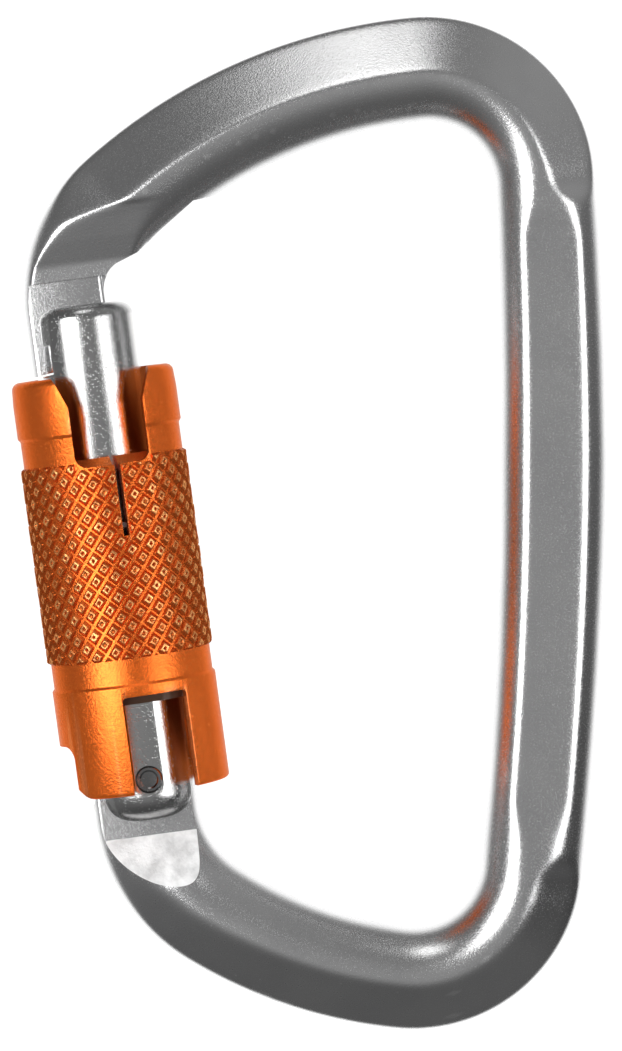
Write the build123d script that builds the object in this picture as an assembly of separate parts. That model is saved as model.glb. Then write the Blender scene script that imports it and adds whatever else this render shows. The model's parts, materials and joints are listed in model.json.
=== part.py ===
from build123d import *
import math
import os

# Locking carabiner, twist-lock sleeve. Millimetres, +Z up, front face towards -Y.
# The ring lies in the XZ plane: spine on the +X side, gate on the -X side.
# Gate pieces are drawn upright in gate axes: t (local Z) runs from the rivet to the nose,
# local +X points into the ring, local -Y is the front.  They are then tilted into place.

# ---- Driving dimensions ----

SPINE_BOTTOM = (25.10, -39.16)       # centreline point where the bottom bend meets the spine
SPINE_HEADING = 84.2                 # degrees, direction of travel there

# Centreline arcs, hinge end to nose end: (radius, heading at the arc's end in degrees)
ARCS_UP = [(466.7, 93.8), (13.2, 185.7), (58.0, 222.6), (13.9, 277.7)]
ARCS_DOWN = [(13.4, -6.3), (50.8, -31.9), (16.0, -82.3)]

# The bar's section is an ellipse pressed flat front and back, and along the two arms also
# pressed to a sloping facet on the outer side: (flat's half depth, facet's distance out)
BAR_HALF_WIDTH = 5.85
BAR_HALF_DEPTH = 5.65
FACET_SLOPE = 34.0                   # degrees between the facet and the front face
HINGE_ARM = (5.50, 4.74)
SPINE = (4.90, 6.50)
NOSE_ARM = (5.55, 4.35)

# Stations along the centreline: 0 is the hinge end, 7 the nose end, one per arc between them.
# Each run has one section; the short gaps between the runs blend one section into the next.
RUNS = [(-0.60, 2.95, HINGE_ARM), (3.04, 3.86, SPINE), (3.94, 7.60, NOSE_ARM)]
SECTION_SHARPNESS = 26               # larger gives tighter corners on the bar's section
SECTION_POINTS = 36
MARKING_FLAT_DEPTH = 4.80            # half depth between the flats milled on the spine

# Gate axis
GATE_FOOT = (-18.33, -28.23)         # the point of the gate axis level with the rivet
GATE_TILT = 7.7                      # degrees, top leaning outward
RIVET_OFFSET = 0.43                  # the rivet sits this far inward of the gate axis
GATE_SWING = 22.0                    # degrees, opening range

# Tabs at the two ends of the bar
TAB_HALF = 2.5                       # half thickness of both tabs
NOSE_STEP_T = 56.5                   # the nose's flats run from here to its tip
NOSE_STEP_DEPTH = 3.3                # half depth of the bar just above those flats
NOSE_TAPER_T = 70.0                  # the bar thins towards the nose from here
NOSE_TIP_R = 46.65                   # radius of the nose's tip about the rivet
NOSE_HEAD_R = 49.6                   # radius of the key head's top about the rivet
NOSE_HEAD_HALF = 3.6                 # half thickness of the key head
NOSE_INNER_X = 2.7                   # inner edge of the nose tab
NOSE_OUTER_X = -6.5                  # outer edge of the nose tab
HINGE_STEP_T = -6.5                  # the hinge tab's flats start here
HINGE_RAMP_T = -12.2                 # foot of the milled run-out below the hinge tab
HINGE_TAB_R = 5.0                    # rounded end about the rivet
HEEL_T = 4.3                         # flat on the hinge tab under the plunger

# Barrel
BARREL_R = 5.55
BARREL_TOP = 53.5
BARREL_BOTTOM = -4.8
BARREL_TOP_ROUND = 1.6
BARREL_BOTTOM_ROUND = 3.0
SLOT_HALF = 2.6
SLOT_WALL_X = 2.9                    # closed inner side of the nose slot
KEY_CLEAR = 0.2
FORK_T = 6.0                         # roof of the hinge slot
BORE_R = 2.6
BORE_TOP = 30.0
RIVET_R = 1.35
RIVET_HOLE_R = 1.42

# Plunger and gate spring
PLUNGER_R = 2.53
PLUNGER_TOP = 9.0
GATE_WIRE_R = 0.28
GATE_COIL_R = 1.95
GATE_COILS = 13

# Sleeve
SLEEVE_BOTTOM = -1.3
SLEEVE_TOP = 45.8
COLLAR_R = 9.26
NECK_R = 9.0
KNURL_R = 9.42
LOWER_COLLAR_T = 10.8
KNURL_FROM = 13.8
KNURL_TO = 36.2
UPPER_COLLAR_T = 39.5
CAVITY_R = 7.6                       # upper and lower cavities
SPRING_ROOM_R = 7.4
WEB_FROM = 13.2                      # the web rides on the barrel
WEB_TO = 17.5
RIDE_R = 5.62
BUSH_FROM = 34.9
BUSH_TO = 36.4
SLEEVE_TURN = 80.0                   # degrees

NOTCH_ANGLE = 10.0                   # front notch, degrees from the front towards the ring
NOTCH_HALF = 4.2
NOTCH_MOUTH_HALF = 5.5
NOTCH_FLOOR = 35.5
NOTCH_FLARE = 42.3
WINDOW_ANGLE = 16.5
WINDOW_HALF = 3.7
WINDOW_TOP = 9.65
STEP_ANGLE = -90.0                   # short side of the sleeve's lower end
STEP_SPAN = 72.0
STEP_T = 4.7
SLIT_ANGLE = 11.7
SLIT_HALF = 0.33
SLIT_FROM = 27.5

# Small parts
PIN_R = 0.8
PIN_T = 15.0
PIN_OUT = 6.6
PIN_IN = 3.4
RING_FROM = 12.2
RING_TO = 13.0
RING_GROOVE_R = 5.0
RING_OUT_R = 6.4
SLEEVE_WIRE_R = 0.35
SLEEVE_COIL_R = 6.5
SLEEVE_COILS = 10

os.makedirs("parts", exist_ok=True)


# ---- Bar ----

def walk(point, heading, arcs, sign):
    """Follow tangent arcs from a point. Returns (start, start heading, radius, turn) per arc."""
    found = []
    for radius, end in arcs:
        turn = end - heading
        found.append((point, heading, radius, turn))
        side = sign * radius
        a = math.radians(heading)
        b = math.radians(end)
        centre = (point[0] - side * math.sin(a), point[1] + side * math.cos(a))
        point = (centre[0] + side * math.sin(b), centre[1] - side * math.cos(b))
        heading = end
    return found, point, heading


def along(arc, fraction):
    """Point and heading on one arc."""
    point, heading, radius, turn = arc
    a = math.radians(heading)
    b = math.radians(heading + turn * fraction)
    x = point[0] + radius * (math.sin(b) - math.sin(a))
    z = point[1] - radius * (math.cos(b) - math.cos(a))
    return x, z, math.degrees(b)


def centreline():
    """The seven arcs in order from the hinge end to the nose end, all turning left."""
    up, _, _ = walk(SPINE_BOTTOM, SPINE_HEADING, ARCS_UP, 1)
    down = []
    point = SPINE_BOTTOM
    heading = SPINE_HEADING
    for radius, end in ARCS_DOWN:
        a = math.radians(heading)
        b = math.radians(end)
        start = (point[0] - radius * (math.sin(a) - math.sin(b)),
                 point[1] + radius * (math.cos(a) - math.cos(b)))
        down.insert(0, (start, end, radius, heading - end))
        point = start
        heading = end
    return down + up


ARCS = centreline()
ARC_LENGTHS = [arc[2] * math.radians(arc[3]) for arc in ARCS]


def place_at(station):
    """Centreline point and heading; stations past either end carry on straight."""
    if station < 0:
        x, z, heading = along(ARCS[0], 0)
        run = station * ARC_LENGTHS[0]
    elif station > 7:
        x, z, heading = along(ARCS[6], 1)
        run = (station - 7) * ARC_LENGTHS[6]
    else:
        index = min(int(station), 6)
        x, z, heading = along(ARCS[index], station - index)
        run = 0
    a = math.radians(heading)
    return x + run * math.cos(a), z + run * math.sin(a), heading


def section_radius(angle, values):
    """Distance from the section's centre to its edge, 0 degrees outward."""
    flat, facet = values
    slope = math.radians(FACET_SLOPE)
    c = math.cos(angle)
    s = abs(math.sin(angle))
    reaches = [
        math.hypot(c / BAR_HALF_WIDTH, s / BAR_HALF_DEPTH),
        s / flat,
        max(0, c * math.sin(slope) + s * math.cos(slope)) / facet,
    ]
    return sum(reach ** SECTION_SHARPNESS for reach in reaches) ** (-1 / SECTION_SHARPNESS)


def section_face(station, values):
    """The bar's section standing square across the centreline."""
    x, z, heading = place_at(station)
    a = math.radians(heading)
    points = []
    for i in range(SECTION_POINTS):
        angle = 2 * math.pi * i / SECTION_POINTS
        r = section_radius(angle, values)
        u = r * math.cos(angle)
        points.append(Vector(x + u * math.sin(a), -r * math.sin(angle), z - u * math.cos(a)))
    return Face(Wire([Edge.make_spline(points, periodic=True)]))


def path_between(start, end):
    """The centreline between two stations."""
    stops = [start] + [k for k in range(8) if start < k < end] + [end]
    edges = []
    for low, high in zip(stops, stops[1:]):
        ends = [place_at(low), place_at((low + high) / 2), place_at(high)]
        points = [(x, 0, z) for x, z, _ in ends]
        if low < 0 or high > 7:
            edges.append(Edge.make_line(points[0], points[2]))
        else:
            edges.append(Edge.make_three_point_arc(*points))
    return Wire(edges)


def build_bar():
    """Runs of constant section joined by short blends."""
    bar = Part()
    for start, end, values in RUNS:
        bar += sweep(sections=section_face(start, values), path=path_between(start, end))
    for (_, low, before), (high, _, after) in zip(RUNS, RUNS[1:]):
        bar += loft([section_face(low, before), section_face(high, after)], ruled=True)
    return bar


def gate_place():
    return Location((GATE_FOOT[0], 0, GATE_FOOT[1]), (0, -GATE_TILT, 0))


def block(x0, x1, y0, y1, z0, z1):
    """A box by its limits."""
    size = Box(x1 - x0, y1 - y0, z1 - z0)
    return Pos((x0 + x1) / 2, (y0 + y1) / 2, (z0 + z1) / 2) * size


def plate(outline, y0, y1):
    """An outline in the local XZ plane, given depth along Y."""
    face = Plane.XZ * outline
    return Pos(0, y1, 0) * extrude(face, amount=y1 - y0)


def ring(r_in, r_out, z0, z1):
    tube = Cylinder(r_out, z1 - z0) - Cylinder(r_in, z1 - z0 + 1)
    return Pos(0, 0, (z0 + z1) / 2) * tube


def rod(r, z0, z1):
    return Pos(0, 0, (z0 + z1) / 2) * Cylinder(r, z1 - z0)


def rivet_cut(r):
    """A cylinder along Y at the rivet, in gate axes."""
    return Pos(RIVET_OFFSET, 0, 0) * Rot(90, 0, 0) * Cylinder(r, 30)


def sector_plate(r_in, r_out, x0, x1, half):
    """A slab between two radii about the rivet, from x0 to x1, above the rivet."""
    band = Circle(r_out) - Circle(r_in)
    keep = Pos((x0 + x1) / 2 - RIVET_OFFSET, r_out) * Rectangle(x1 - x0, 2 * r_out)
    return Pos(RIVET_OFFSET, 0, 0) * plate(band & keep, -half, half)


def nose_trim():
    """What is machined off the inner side of the nose so that the barrel's top clears it."""
    with BuildLine() as line:
        Polyline((NOSE_INNER_X, 40), (NOSE_INNER_X, 54.6))
        RadiusArc((NOSE_INNER_X, 54.6), (4.9, 57.6), 3.4)
        Polyline((4.9, 57.6), (7.0, 58.5), (10.1, 60.8), (14.0, 63.4), (20, 64), (20, 40),
                 (NOSE_INNER_X, 40))
    return make_face(line.line)


def build_body():
    bar = build_bar()
    for side in (-1, 1):
        y0 = min(side * MARKING_FLAT_DEPTH, side * 9)
        y1 = max(side * MARKING_FLAT_DEPTH, side * 9)
        bar -= block(20, 36, y0, y1, -33, 26)
    bar = gate_place().inverse() * bar

    # Nose: tapered faces, flats, inner relief, tip rounded about the rivet, key head
    for side in (-1, 1):
        cut = Polyline((side * NOSE_STEP_DEPTH, NOSE_STEP_T), (side * 5.8, NOSE_TAPER_T),
                       (side * 12, NOSE_TAPER_T), (side * 12, 20), (side * NOSE_STEP_DEPTH, 20),
                       close=True)
        bar -= Pos(-25, 0, 0) * extrude(Plane.YZ * make_face(cut), amount=50)
    bar -= plate(nose_trim(), -12, 12)
    bar -= block(-20, NOSE_OUTER_X, -12, 12, 30, 51.0)
    for y0, y1 in ((-12, -TAB_HALF), (TAB_HALF, 12)):
        bar -= block(-20, 12, y0, y1, 30, NOSE_STEP_T)
    tip = Pos(RIVET_OFFSET, 0, 0) * Rot(90, 0, 0) * Cylinder(NOSE_TIP_R, 30)
    bar -= tip & block(-20, 20, -12, 12, 30, 60)
    bar += sector_plate(NOSE_TIP_R, NOSE_HEAD_R, -4.6, NOSE_INNER_X, NOSE_HEAD_HALF)

    # Hinge tab: flats with a sloping run-out, rounded end, plunger heel, rivet hole
    slope = (4.9 - TAB_HALF) / (HINGE_STEP_T - HINGE_RAMP_T)
    far = 12
    for side in (-1, 1):
        cut = Polyline((side * TAB_HALF, 20), (side * TAB_HALF, HINGE_STEP_T),
                       (side * (TAB_HALF + slope * far), HINGE_STEP_T - far),
                       (side * 30, HINGE_STEP_T - far), (side * 30, 20), close=True)
        face = Plane.YZ * make_face(cut)
        bar -= (Pos(-14, 0, 0) * extrude(face, amount=26)) & block(-14, 12, -12, 12, -19, 20)
    end = Pos(RIVET_OFFSET, 0) * Circle(HINGE_TAB_R)
    flank = Polyline((-6.3, -20), (-6.3, -2.5), (-4.2, 2.6), (4.9, 2.6), (5.9, -2.5), (5.9, -20),
                     close=True)
    keep = plate(end + make_face(flank), -12, 12)
    above = block(-14, 14, -12, 12, HINGE_STEP_T, 20)
    bar -= above - keep
    bar -= block(-14, 14, -12, 12, HEEL_T, 20)
    bar -= rivet_cut(RIVET_HOLE_R)
    return bar


# ---- Gate ----

def barrel_profile():
    """Half outline of the barrel, for turning about its axis."""
    with BuildLine() as line:
        Polyline((0, BARREL_BOTTOM), (BARREL_R - BARREL_BOTTOM_ROUND, BARREL_BOTTOM))
        RadiusArc((BARREL_R - BARREL_BOTTOM_ROUND, BARREL_BOTTOM),
                  (BARREL_R, BARREL_BOTTOM + BARREL_BOTTOM_ROUND), -BARREL_BOTTOM_ROUND)
        Polyline((BARREL_R, BARREL_BOTTOM + BARREL_BOTTOM_ROUND),
                 (BARREL_R, BARREL_TOP - BARREL_TOP_ROUND))
        RadiusArc((BARREL_R, BARREL_TOP - BARREL_TOP_ROUND),
                  (BARREL_R - BARREL_TOP_ROUND, BARREL_TOP), -BARREL_TOP_ROUND)
        Polyline((BARREL_R - BARREL_TOP_ROUND, BARREL_TOP), (0, BARREL_TOP), (0, BARREL_BOTTOM))
    return make_face(line.line)


def build_barrel():
    barrel = revolve(Plane.XZ * barrel_profile(), Axis.Z)
    barrel -= block(-10, 10, -SLOT_HALF, SLOT_HALF, -10, FORK_T)
    slot_r = NOSE_TIP_R - KEY_CLEAR
    barrel -= sector_plate(slot_r, 60, -10, SLOT_WALL_X, SLOT_HALF)
    barrel -= sector_plate(slot_r, NOSE_HEAD_R + KEY_CLEAR, -10, SLOT_WALL_X,
                           NOSE_HEAD_HALF + KEY_CLEAR)
    barrel -= rod(BORE_R, 0, BORE_TOP)
    barrel -= ring(RING_GROOVE_R, 8, RING_FROM, RING_TO)
    barrel -= rivet_cut(RIVET_R)
    pin_axis = Rot(0, 0, 180) * Pos(0, -(PIN_IN + PIN_OUT) / 2, PIN_T) * Rot(90, 0, 0)
    barrel -= pin_axis * Cylinder(PIN_R, PIN_OUT - PIN_IN)
    barrel -= Pos(0, -SLEEVE_COIL_R, WEB_TO + 1.0) * Rot(90, 0, 0) * Cylinder(SLEEVE_WIRE_R + 0.05, 6)
    return barrel


def build_rivet():
    blank = Pos(RIVET_OFFSET, 0, 0) * Rot(90, 0, 0) * Cylinder(RIVET_R, 2 * BARREL_R + 2)
    return blank & rod(BARREL_R - 0.05, -5, 5)


def build_plunger():
    plunger = rod(PLUNGER_R, HEEL_T + 0.02, PLUNGER_TOP)
    plunger = chamfer(plunger.edges().group_by(Axis.Z)[0], 0.5)
    return plunger + rod(1.3, PLUNGER_TOP, PLUNGER_TOP + 2)


def coil(radius, wire_r, z0, z1, turns):
    """A helical spring with its centreline from z0 to z1."""
    path = Helix(pitch=(z1 - z0) / turns, height=z1 - z0, radius=radius)
    start = Plane(origin=path @ 0, z_dir=path % 0)
    return Pos(0, 0, z0) * sweep(start * Circle(wire_r), path=path, is_frenet=True)


def build_gate_spring():
    return coil(GATE_COIL_R, GATE_WIRE_R, PLUNGER_TOP + GATE_WIRE_R + 0.02,
                BORE_TOP - GATE_WIRE_R - 0.05, GATE_COILS)


def build_guide_pin():
    pin = Rot(0, 0, 180) * Pos(0, -(PIN_IN + PIN_OUT) / 2, PIN_T) * Rot(90, 0, 0)
    return pin * Cylinder(PIN_R, PIN_OUT - PIN_IN)


def build_retaining_ring():
    snap = ring(RING_GROOVE_R, RING_OUT_R, RING_FROM + 0.03, RING_TO - 0.03)
    return snap - block(-1.1, 1.1, -9, 0, RING_FROM - 1, RING_TO + 1)


# ---- Sleeve ----

def sleeve_profile():
    """Outer half outline of the sleeve, closed on the axis."""
    outline = Polyline(
        (0, SLEEVE_BOTTOM), (COLLAR_R - 0.5, SLEEVE_BOTTOM), (COLLAR_R, SLEEVE_BOTTOM + 0.5),
        (COLLAR_R, LOWER_COLLAR_T), (NECK_R, LOWER_COLLAR_T + 0.4),
        (NECK_R, KNURL_FROM), (KNURL_R, KNURL_FROM + 0.4),
        (KNURL_R, KNURL_TO - 0.4), (NECK_R, KNURL_TO),
        (NECK_R, UPPER_COLLAR_T - 0.4), (COLLAR_R, UPPER_COLLAR_T),
        (COLLAR_R, SLEEVE_TOP - 2.6), (COLLAR_R - 0.2, SLEEVE_TOP - 0.9),
        (COLLAR_R - 0.9, SLEEVE_TOP), (0, SLEEVE_TOP), close=True)
    return make_face(outline)


def radial(outline, angle):
    """Cut an outline, drawn in X and Z, through the front wall, then turn it by an angle."""
    return Rot(0, 0, angle) * plate(outline, -14, 0)


def notch_outline():
    w = NOTCH_HALF
    m = NOTCH_MOUTH_HALF
    top = SLEEVE_TOP + 1
    over = m + (m - w) / (SLEEVE_TOP - NOTCH_FLARE)
    outline = Polyline((-w, NOTCH_FLOOR), (w, NOTCH_FLOOR), (w, NOTCH_FLARE),
                       (over, top), (-over, top), (-w, NOTCH_FLARE), close=True)
    face = make_face(outline)
    corners = face.vertices().sort_by(Axis.Y)[:4]
    return fillet(corners, 1.3)


def window_outline():
    w = WINDOW_HALF
    outline = Polyline((-w, SLEEVE_BOTTOM - 1), (w, SLEEVE_BOTTOM - 1), (w, WINDOW_TOP),
                       (-w, WINDOW_TOP), close=True)
    face = make_face(outline)
    return fillet(face.vertices().sort_by(Axis.Y)[-2:], 0.5)


def step_outline():
    """The lower end is cut back over one side, with soft shoulders."""
    w = COLLAR_R * math.sin(math.radians(STEP_SPAN / 2))
    outline = Polyline((-w - 1.4, SLEEVE_BOTTOM - 1), (w + 1.4, SLEEVE_BOTTOM - 1),
                       (w + 1.4, SLEEVE_BOTTOM), (w, SLEEVE_BOTTOM + 1.2), (w, STEP_T),
                       (-w, STEP_T), (-w, SLEEVE_BOTTOM + 1.2), (-w - 1.4, SLEEVE_BOTTOM),
                       close=True)
    face = make_face(outline)
    return fillet(face.vertices().sort_by(Axis.Y)[-2:], 1.5)


def build_sleeve():
    sleeve = revolve(Plane.XZ * sleeve_profile(), Axis.Z)
    sleeve -= rod(CAVITY_R, SLEEVE_BOTTOM - 1, WEB_FROM)
    sleeve -= rod(RIDE_R, WEB_FROM - 1, WEB_TO + 1)
    sleeve -= rod(SPRING_ROOM_R, WEB_TO, BUSH_FROM)
    sleeve -= rod(CAVITY_R, BUSH_FROM, SLEEVE_TOP + 1)
    for turn in (0, 180):
        sleeve -= radial(notch_outline(), NOTCH_ANGLE + turn)
        sleeve -= radial(window_outline(), WINDOW_ANGLE + turn)
    sleeve -= radial(step_outline(), STEP_ANGLE)
    slit = Rot(0, 0, SLIT_ANGLE) * block(-SLIT_HALF, SLIT_HALF, -14, 0, SLIT_FROM, NOTCH_FLOOR + 1)
    sleeve -= slit
    groove = Pos((RIDE_R + PIN_OUT + 0.1) / 2, 0) * Rectangle(PIN_OUT + 0.1 - RIDE_R + 1, 2 * PIN_R + 0.1)
    span = SLEEVE_TURN + 18
    sector = revolve(Pos(0, 0, PIN_T) * (Plane.XZ * groove), Axis.Z, span)
    sleeve -= Rot(0, 0, 90 + 9 - span) * sector
    return sleeve


def build_bush():
    bush = ring(RIDE_R, CAVITY_R, BUSH_FROM, BUSH_TO)
    outer = bush.edges().filter_by(GeomType.CIRCLE).group_by(Axis.Z)[-1].sort_by(SortBy.RADIUS)[-1]
    bush = chamfer(outer, 0.9, 1.2)
    slit = Rot(0, 0, SLIT_ANGLE) * block(-SLIT_HALF, SLIT_HALF, -14, 0, BUSH_FROM - 1, BUSH_TO + 1)
    return bush - slit


def build_sleeve_spring():
    """Torsion spring; its upper leg stands in the sleeve's slit."""
    top = SLIT_FROM + 1.2
    spring = coil(SLEEVE_COIL_R, SLEEVE_WIRE_R, WEB_TO + 0.4, top, SLEEVE_COILS)
    leg = Rot(0, 0, SLIT_ANGLE) * Pos(0, -SLEEVE_COIL_R - 0.9, top) * Rot(90, 0, 0)
    return Rot(0, 0, SLIT_ANGLE - 90) * spring + leg * Cylinder(SLIT_HALF - 0.03, 1.8)


PARTS = {
    "body": build_body,
    "gate_barrel": build_barrel,
    "hinge_rivet": build_rivet,
    "gate_plunger": build_plunger,
    "gate_spring": build_gate_spring,
    "guide_pin": build_guide_pin,
    "retaining_ring": build_retaining_ring,
    "lock_sleeve": build_sleeve,
    "top_bush": build_bush,
    "sleeve_spring": build_sleeve_spring,
}

for name, build in PARTS.items():
    shape = gate_place() * build()
    export_step(shape, f"parts/{name}.step")
    box = shape.bounding_box()
    print(name, shape.is_valid, round(shape.volume, 1), len(shape.solids()), box.min, box.max)
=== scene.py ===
import json
import math
import bmesh
import bpy
import numpy as np
from mathutils import Matrix, Vector


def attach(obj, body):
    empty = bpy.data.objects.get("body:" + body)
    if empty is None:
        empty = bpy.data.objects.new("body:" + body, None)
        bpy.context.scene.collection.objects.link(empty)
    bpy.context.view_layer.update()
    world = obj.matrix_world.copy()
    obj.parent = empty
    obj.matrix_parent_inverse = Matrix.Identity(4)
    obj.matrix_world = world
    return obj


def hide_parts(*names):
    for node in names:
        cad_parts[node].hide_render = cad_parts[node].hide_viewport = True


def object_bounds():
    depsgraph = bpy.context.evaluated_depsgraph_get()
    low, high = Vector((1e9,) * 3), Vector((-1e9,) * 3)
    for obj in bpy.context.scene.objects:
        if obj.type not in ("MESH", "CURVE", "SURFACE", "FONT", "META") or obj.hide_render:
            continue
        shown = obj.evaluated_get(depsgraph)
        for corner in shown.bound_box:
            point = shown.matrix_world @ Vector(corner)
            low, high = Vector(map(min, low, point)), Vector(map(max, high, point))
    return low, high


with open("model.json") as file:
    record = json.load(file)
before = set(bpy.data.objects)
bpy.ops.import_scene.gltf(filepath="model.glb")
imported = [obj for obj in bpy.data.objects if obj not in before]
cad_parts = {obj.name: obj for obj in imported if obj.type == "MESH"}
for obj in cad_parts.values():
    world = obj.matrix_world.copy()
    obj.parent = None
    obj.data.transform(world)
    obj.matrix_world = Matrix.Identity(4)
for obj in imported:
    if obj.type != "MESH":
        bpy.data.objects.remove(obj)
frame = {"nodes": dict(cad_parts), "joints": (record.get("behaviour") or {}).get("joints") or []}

cad_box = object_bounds()

# Locking carabiner.  Shapes are worked out in millimetres and stored in metres.
# Bar pieces use the ring's XZ plane.  Gate pieces are made in gate axes: local Z runs along the
# gate from the rivet to the nose, local +X points into the ring, local -Y is the front.

MM = 0.001

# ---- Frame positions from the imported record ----

JOINTS = {joint["name"]: joint for joint in frame["joints"]}
TWIST_AXIS = Vector(JOINTS["sleeve_twist"]["axis"]).normalized()
GATE_FOOT = Vector(JOINTS["sleeve_twist"]["pos_m"])
GATE_TILT = math.atan2(TWIST_AXIS.x, TWIST_AXIS.z)
GATE_PLACE = Matrix.Translation(GATE_FOOT) @ Matrix.Rotation(GATE_TILT, 4, "Y")
RIVET_X = (GATE_PLACE.inverted() @ Vector(JOINTS["gate_swing"]["pos_m"])).x / MM

# ---- Bar: centreline arcs and sections ----

SPINE_BOTTOM = (25.10, -39.16)
SPINE_HEADING = 84.2
ARCS_UP = [(466.7, 93.8), (13.2, 185.7), (58.0, 222.6), (13.9, 277.7)]
ARCS_DOWN = [(13.4, -6.3), (50.8, -31.9), (16.0, -82.3)]
FACET_SLOPE = math.radians(34)
FLAT_SLOPE = math.radians(2)
SECTION_POINTS = 160

# Station along the bar (0 hinge end, 7 nose end, one per arc) and the value there
HALF_WIDTH = [(-0.6, 5.85), (0, 5.85), (1, 6.0), (2, 5.8), (3, 5.7), (3.6, 5.95), (4, 5.6),
              (5, 5.9), (6, 6.05), (7.6, 6.05)]
HALF_DEPTH = [(-0.6, 5.1), (0.1, 5.15), (1.2, 5.65), (6.3, 5.65), (7.0, 5.3), (7.6, 5.3)]
FLAT_DEPTH = [(-0.6, 4.6), (0.2, 4.85), (1, 5.8), (2, 5.8), (2.80, 5.6), (3.03, 5.4), (3.05, 5.3),
              (3.105, 4.72), (3.92, 4.72), (3.965, 5.35), (4.05, 5.45), (4.5, 5.55), (5, 5.8),
              (7.6, 5.8)]
FACET_REACH = [(-0.6, 5.9), (0.2, 5.75), (0.7, 4.95), (1.5, 4.74), (2.5, 4.7), (2.95, 4.72),
               (3.0, 4.85), (3.035, 5.95), (3.96, 5.95), (3.99, 4.75), (4.15, 4.42), (5, 4.35),
               (6.0, 4.35), (6.2, 5.0), (6.4, 5.95), (7.6, 5.95)]
SHARPNESS = [(-0.6, 24), (1, 24), (2.9, 26), (3.1, 34), (3.8, 34), (4, 40), (5, 40), (6, 34),
             (6.5, 30), (7.6, 30)]
BLEND = 1.7                          # mm of bar over which a change in a table is smoothed
STATION_GAP = 0.6                    # mm between sections on the first five arcs
FINE_GAP = 0.3                       # and on the last two, which carry the nose
HINGE_RUN_ON = [-0.6, -0.3]          # stations past the hinge end
NOSE_RUN_ON = [7.0, 7.15, 7.3, 7.45, 7.6]
THROUGH = (-15, 15)                  # front and back limits of a cut through the whole bar

# ---- Tabs ----

TAB_HALF = 2.5
NOSE_STEP_T = 56.5
NOSE_TIP_R = 46.65
NOSE_HEAD_R = 49.6
NOSE_HEAD_HALF = 3.6
NOSE_INNER_X = 2.7
NOSE_OUTER_X = -6.45
NOSE_OUTER_TO = 51.5                 # the nose's outer face is cut flat up to here
NOSE_THROAT_T = 54.6                 # start of the curve from the nose into the arm
NOSE_THROAT_R = 3.4
NOSE_THROAT = [(7.0, 58.5), (10.1, 60.8), (14.0, 63.4), (20, 64), (20, 40)]
NOSE_HEAD_OUTER_X = -6.0
# Height above the nose's step, and half thickness there
CHEEK = [(-1, 2.9), (0, 2.92), (1.6, 3.05), (4.2, 4.05), (6.5, 4.85), (7.5, 5.25), (8.5, 6.6)]
CHEEK_EDGE = 26                      # the higher, the sharper the edge round the cheek
HINGE_STEP_T = -6.5
HINGE_RAMP_T = -11.7
HINGE_RAMP_HALF = 4.9                # half thickness at the foot of the run-out
HINGE_OUTER_X = -6.3
HINGE_INNER_X = 5.9
# What is cut away round the hinge tab's end
ABOVE_TAB = [(-16, -2.5), (HINGE_OUTER_X, -2.5), (-4.2, 2.6), (-3.3, 3.6), (-2.1, 4.3), (2.9, 4.3),
             (4.1, 3.6), (4.9, 2.6), (HINGE_INNER_X, -2.5), (16, -2.5), (16, 20), (-16, 20)]

# ---- Barrel ----

BARREL_R = 5.55
BARREL_TOP = 53.5
BARREL_BOTTOM = -4.8
BARREL_FOOT_R = 3.0                  # rounding at the hinge end
BARREL_RIM_R = 1.6                   # rounding at the nose end
SLOT_HALF = 2.6
SLOT_WALL_X = 2.9
FORK_T = 6.0
SLOT_GAP = 0.2                       # play round the nose's head
SLOT_FAR_R = 62
SLOT_OPEN = 104                      # degrees: the slot runs out through the barrel's outer side
RIVET_R = 1.48                       # CAD has 1.35; the photo shows a larger end
RIVET_GAP = 0.06

# ---- Sleeve ----

SLEEVE_BOTTOM = -1.3
SLEEVE_TOP = 45.8
COLLAR_R = 9.26
NECK_R = 9.0
COLLAR_EDGE = 0.45                   # rounding of the lower rim
RIM_EDGE = 0.9                       # rounding of the upper rim
LOWER_COLLAR_TO = 10.8
NECK_FROM = 11.1
NECK_TO = 39.1
UPPER_COLLAR_FROM = 39.45
KNURL_R = 9.42
KNURL_FROM = 13.8
KNURL_TO = 36.2
CAVITY_R = 7.6
ROOM_R = 7.4
RIDE_R = 5.62
WEB_FROM = 13.2
WEB_TO = 17.5
BUSH_FROM = 34.9
NOTCH_ANGLE = 10.0
NOTCH_HALF = 4.2
NOTCH_MOUTH = 5.5
NOTCH_FLOOR = 35.5
NOTCH_FLARE = 42.3
WINDOW_ANGLE = 16.5
WINDOW_HALF = 3.7
WINDOW_TOP = 9.65
# A dark lip inside, above the window: a near-black ring that paints the shade at the top of the
# window.  It is a guess to match the photo; CAD has none.
LIP_FROM = 8.75
LIP_TO = WINDOW_TOP + 0.4
LIP_R = 5.8
LIP_ROOT_R = CAVITY_R + 0.3
STEP_HALF = 5.44
STEP_T = 4.7
SLIT_ANGLE = 11.7
SLIT_HALF = 0.33
SLIT_FROM = 27.5

KNURL_CELLS = 26                     # diamonds round the sleeve
KNURL_STARTS = (22, 30)              # grooves round the sleeve, left hand and right hand
KNURL_PITCH = 2.35                   # along the sleeve
KNURL_STEPS = 24                     # mesh steps per diamond
KNURL_DEPTH = 0.55


# ---- Small helpers ----

def make_object(name, points, faces):
    """A mesh object from points in millimetres."""
    mesh = bpy.data.meshes.new(name)
    mesh.from_pydata([tuple(p) for p in np.asarray(points, float) * MM], [], faces)
    mesh.update()
    obj = bpy.data.objects.new(name, mesh)
    bpy.context.scene.collection.objects.link(obj)
    fix_normals(obj)
    return obj


def fix_normals(obj):
    """Make every face look outward."""
    bm = bmesh.new()
    bm.from_mesh(obj.data)
    bmesh.ops.recalc_face_normals(bm, faces=bm.faces)
    bm.to_mesh(obj.data)
    bm.free()


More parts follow.
